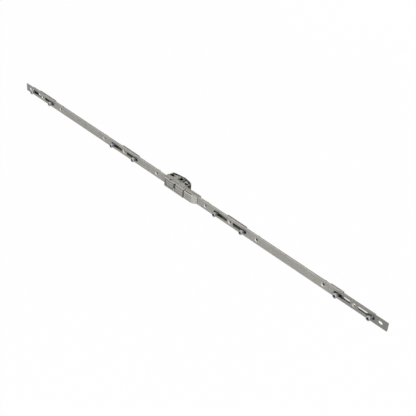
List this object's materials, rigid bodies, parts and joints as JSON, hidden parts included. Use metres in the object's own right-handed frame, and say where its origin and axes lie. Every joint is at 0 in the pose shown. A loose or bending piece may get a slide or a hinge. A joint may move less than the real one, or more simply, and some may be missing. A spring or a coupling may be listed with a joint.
{
  "type": "window espagnolette gearbox",
  "caption": "Long narrow faceplate with a central spindle gearbox and mushroom cams that hidden rails slide towards and away from each other.",
  "frame": {"origin": "on the spindle axis, in the front face of the faceplate, at half its width", "axes": "+X along the faceplate towards the end nearest the smooth hood, +Y from the front face into the sash groove, +Z across the faceplate towards the case cover"},
  "size_m": [1, 0.0344, 0.016],
  "materials": {
    "plated_steel": "zinc-plated satin steel",
    "rail_steel": "zinc-plated satin steel",
    "bright_cam": "bright polished",
    "rivet_steel": "bright zinc-plated",
    "dark_steel": "dark oiled sintered steel",
    "cast_case": "die-cast, tumbled, slightly dull",
    "satin_hood": "pale satin"
  },
  "bodies": {
    "housing": {"faceplate": "plated_steel", "guide_bush_1": "dark_steel", "guide_bush_2": "dark_steel", "guide_bush_3": "dark_steel", "guide_bush_4": "dark_steel", "guide_bush_5": "dark_steel", "guide_bush_6": "dark_steel", "point_bush_1": "dark_steel", "point_bush_2": "dark_steel", "point_bush_3": "dark_steel", "case_body": "cast_case", "case_cover": "cast_case", "case_rivet_1": "rivet_steel", "case_rivet_2": "rivet_steel", "case_rivet_3": "rivet_steel", "case_rivet_4": "rivet_steel", "front_frame": "plated_steel", "front_hood": "satin_hood", "pinion_axle": "rivet_steel"},
    "front_drive": {"front_rail": "rail_steel", "cam_front_1": "bright_cam", "cam_front_2": "bright_cam", "cam_front_3": "bright_cam", "cam_front_4": "bright_cam", "end_doubler": "rail_steel"},
    "rear_drive": {"rear_rail": "rail_steel", "cam_rear_1": "bright_cam", "cam_rear_2": "bright_cam", "cam_rear_3": "bright_cam", "cam_rear_4": "bright_cam"},
    "hub": {"drive_hub": "dark_steel"},
    "pinion": {"reversing_pinion": "dark_steel"}
  },
  "joints": [
    {"name": "front_rail_slide", "type": "slide", "parent": "housing", "child": "front_drive", "axis": [1, 0, 0], "range_m": [0, 0.018]},
    {"name": "rear_rail_slide", "type": "slide", "parent": "housing", "child": "rear_drive", "axis": [1, 0, 0], "range_m": [-0.018, 0]},
    {"name": "spindle_turn", "type": "hinge", "parent": "housing", "child": "hub", "pos_m": [0, 0.017, 0], "axis": [0, 0, 1], "range_deg": [0, 90]},
    {"name": "pinion_spin", "type": "hinge", "parent": "housing", "child": "pinion", "pos_m": [0.03, 0, 0], "axis": [0, 1, 0], "range_deg": [0, 258]}
  ],
  "couplings": [
    {"joint": "rear_rail_slide", "follows": "front_rail_slide", "ratio": -1},
    {"joint": "spindle_turn", "follows": "front_rail_slide", "rad_per_m": 87.266},
    {"joint": "pinion_spin", "follows": "front_rail_slide", "rad_per_m": 250}
  ]
}
